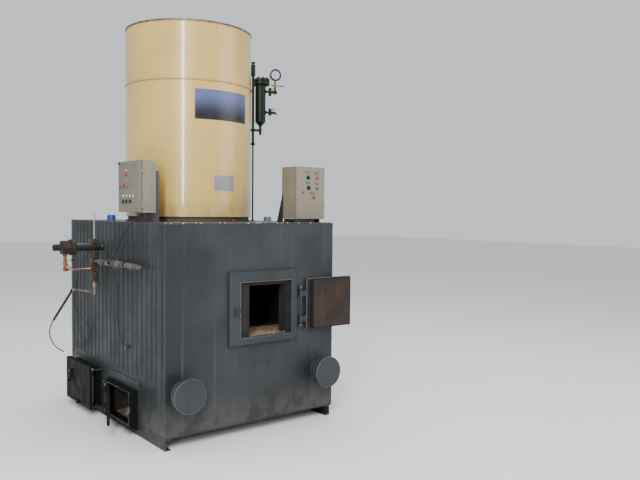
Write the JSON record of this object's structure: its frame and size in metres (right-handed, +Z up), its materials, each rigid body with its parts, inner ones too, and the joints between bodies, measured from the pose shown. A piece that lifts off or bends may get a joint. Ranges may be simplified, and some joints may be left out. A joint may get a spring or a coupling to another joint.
{
  "type": "wood pellet boiler",
  "caption": "Wood pellet boiler: hollow furnace block on skids with firing and ash doors, and an upright heat exchanger drum with level column, gauge and cabinets.",
  "frame": {"origin": "on the floor, under the middle of the furnace block's footprint", "axes": "+X to the right along the front, +Y to the back, +Z up; the firing door is at -Y and the ash doors at -X"},
  "size_m": [1.9902, 1.89, 3.12],
  "materials": {
    "casing_paint": "weathered blue-grey paint",
    "skid_steel": "dark grey paint, scuffed",
    "frame_paint": "satin grey paint",
    "drum_cream": "semi-gloss cream enamel",
    "drum_trim": "dull dark paint",
    "cabinet_paint": "textured grey-beige powder coat",
    "column_green": "dark green paint",
    "refractory": "fired brown refractory",
    "grate_iron": "heat-dulled",
    "bare_steel": "worn bright steel",
    "rusty_iron": "rusted",
    "galvanised": "dull zinc",
    "plate_metal": "satin plate",
    "gauge_face": "black case",
    "controls": "gloss",
    "cap_blue": "blue plug",
    "cable_black": "black sheath"
  },
  "bodies": {
    "boiler": {"skids": "skid_steel", "cross_members": "skid_steel", "furnace_floor": "skid_steel", "front_wall_sides": "casing_paint", "front_wall_middle": "casing_paint", "left_wall_piers": "casing_paint", "left_wall_upper": "casing_paint", "right_wall": "casing_paint", "rear_wall": "casing_paint", "furnace_roof": "casing_paint", "casing_sheets": "casing_paint", "firing_door_frame": "frame_paint", "firing_throat_lining": "refractory", "hearth": "refractory", "fire_grate": "grate_iron", "ash_backing_plate": "frame_paint", "ash_door_frames": "frame_paint", "door_hinge_pins": "bare_steel", "cleanout_caps": "frame_paint", "drum_base": "drum_trim", "drum_jacket_lower": "drum_cream", "drum_jacket_upper": "drum_cream", "drum_top_plate": "drum_trim", "chimney_collar": "drum_trim", "drum_plates": "plate_metal", "left_cabinet_body": "cabinet_paint", "left_cabinet_bracket": "drum_trim", "right_cabinet_body": "cabinet_paint", "right_cabinet_stand": "drum_trim", "column_standpipe": "column_green", "level_column": "column_green", "try_cocks": "bare_steel", "pressure_gauge": "gauge_face", "outlet_pipe": "column_green", "outlet_head": "rusty_iron", "feed_stack": "rusty_iron", "feed_run": "galvanised", "drain_branch": "galvanised", "tapping_caps": "cap_blue", "cable_glands": "galvanised", "sensor_leads": "cable_black", "capillary_lead": "cable_black", "branch_cable": "cable_black", "drain_lead": "cable_black"},
    "firing_door": {"firing_door_leaf": "frame_paint", "firing_door_lining": "refractory"},
    "near_ash_door": {"near_ash_leaf": "frame_paint"},
    "far_ash_door": {"far_ash_leaf": "frame_paint"},
    "left_cabinet_door": {"left_cabinet_door": "cabinet_paint", "left_cabinet_controls": "controls"},
    "right_cabinet_door": {"right_cabinet_door": "cabinet_paint", "right_cabinet_controls": "controls"}
  },
  "joints": [
    {"name": "firing_door_hinge", "type": "hinge", "parent": "boiler", "child": "firing_door", "pos_m": [0.386, -0.915, 0.891], "axis": [0, 0, 1], "range_deg": [-178, 0]},
    {"name": "near_ash_door_hinge", "type": "hinge", "parent": "boiler", "child": "near_ash_door", "pos_m": [-0.787, -0.036, 0.196], "axis": [0, 0, -1], "range_deg": [-21.3, 70]},
    {"name": "far_ash_door_hinge", "type": "hinge", "parent": "boiler", "child": "far_ash_door", "pos_m": [-0.799, 0.186, 0.214], "axis": [0, 0, 1], "range_deg": [0, 95]},
    {"name": "left_cabinet_hinge", "type": "hinge", "parent": "boiler", "child": "left_cabinet_door", "pos_m": [-0.697, -0.492, 1.7725], "axis": [0, 0, 1], "range_deg": [0, 110]},
    {"name": "right_cabinet_hinge", "type": "hinge", "parent": "boiler", "child": "right_cabinet_door", "pos_m": [0.705, -0.782, 1.749], "axis": [0, 0, 1], "range_deg": [0, 110]}
  ]
}
